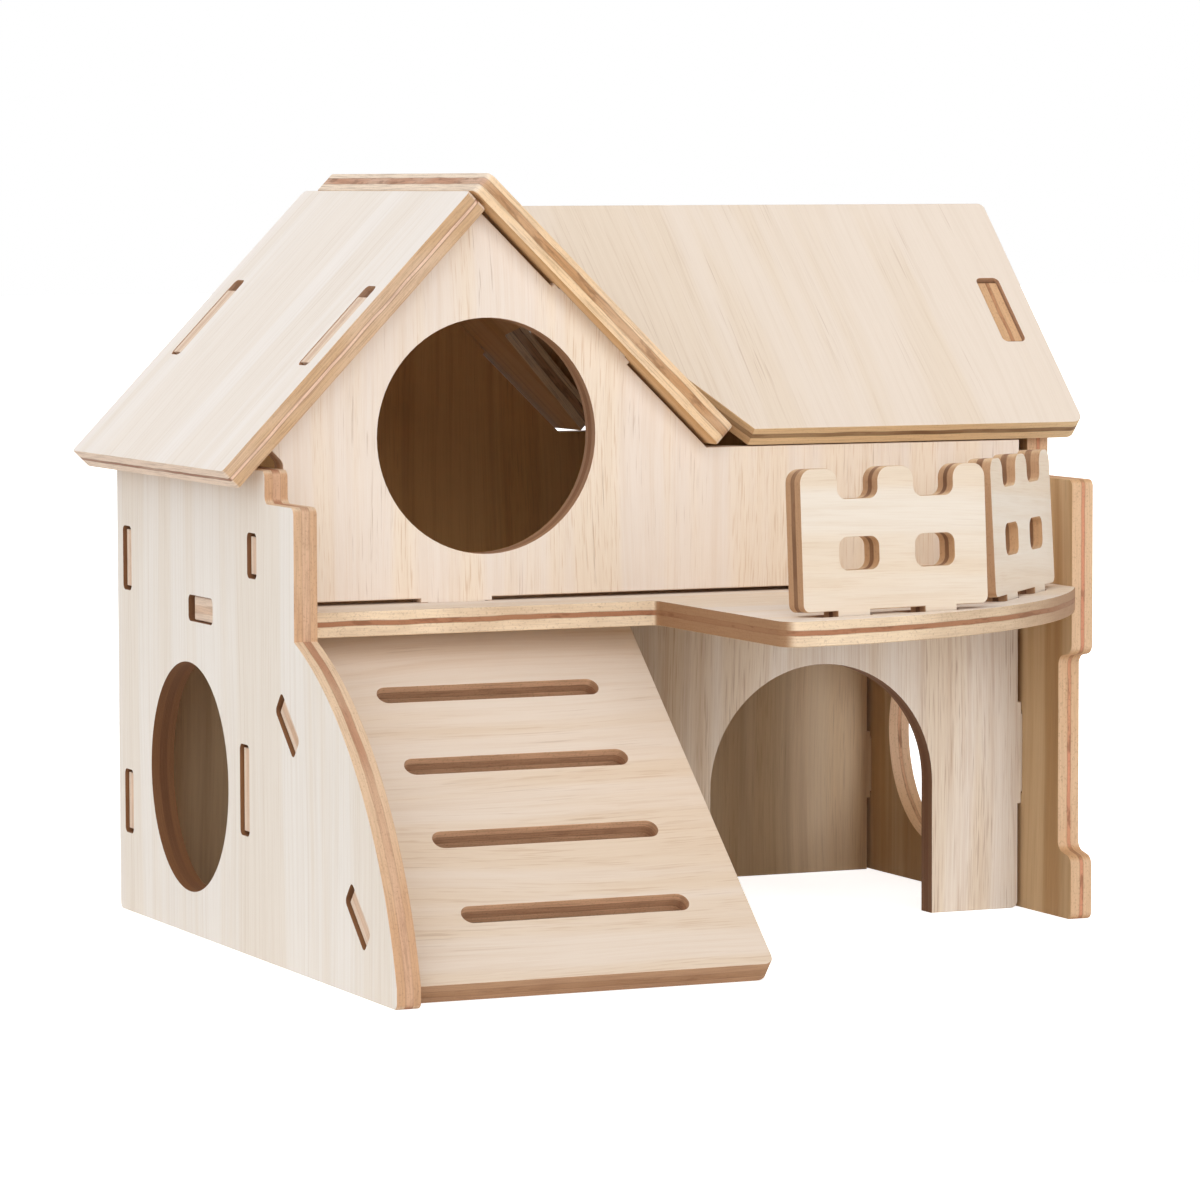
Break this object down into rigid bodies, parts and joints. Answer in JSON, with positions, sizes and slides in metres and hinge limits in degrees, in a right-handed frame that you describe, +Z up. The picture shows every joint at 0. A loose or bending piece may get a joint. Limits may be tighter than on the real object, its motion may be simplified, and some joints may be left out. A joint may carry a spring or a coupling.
{
  "type": "wooden hamster house",
  "caption": "Two-storey plywood hamster house with a gable roof, ramp, balcony with railing, round window, arched door and round side holes.",
  "frame": {"origin": "under the middle of the whole house, on the floor", "axes": "+X to the right as seen from the front, +Y to the back, +Z up"},
  "size_m": [0.1916, 0.1624, 0.155],
  "materials": {
    "wall_ply": "bare sanded plywood",
    "roof_ply": "bare sanded plywood",
    "deck_ply": "bare sanded plywood",
    "ramp_ply": "bare sanded plywood",
    "railing_ply": "bare sanded plywood"
  },
  "bodies": {
    "house": {"left_side_wall": "wall_ply", "right_side_wall": "wall_ply", "upper_front_wall": "wall_ply", "lower_front_wall": "wall_ply", "rear_wall": "wall_ply", "floor_deck": "deck_ply", "ramp": "ramp_ply", "gable_roof_right": "roof_ply", "railing_front": "railing_ply", "railing_side": "railing_ply"},
    "left_roof": {"gable_roof_left": "roof_ply"},
    "front_roof": {"right_roof_front": "roof_ply"},
    "rear_roof": {"right_roof_rear": "roof_ply"}
  },
  "joints": [
    {"name": "left_roof_lift", "type": "slide", "parent": "house", "child": "left_roof", "axis": [-0.7186, 0, 0.6954], "range_m": [0, 0.04]},
    {"name": "front_roof_lift", "type": "slide", "parent": "house", "child": "front_roof", "axis": [0, -0.7045, 0.7097], "range_m": [0, 0.04]},
    {"name": "rear_roof_lift", "type": "slide", "parent": "house", "child": "rear_roof", "axis": [0, 0.7045, 0.7097], "range_m": [0, 0.04]}
  ]
}
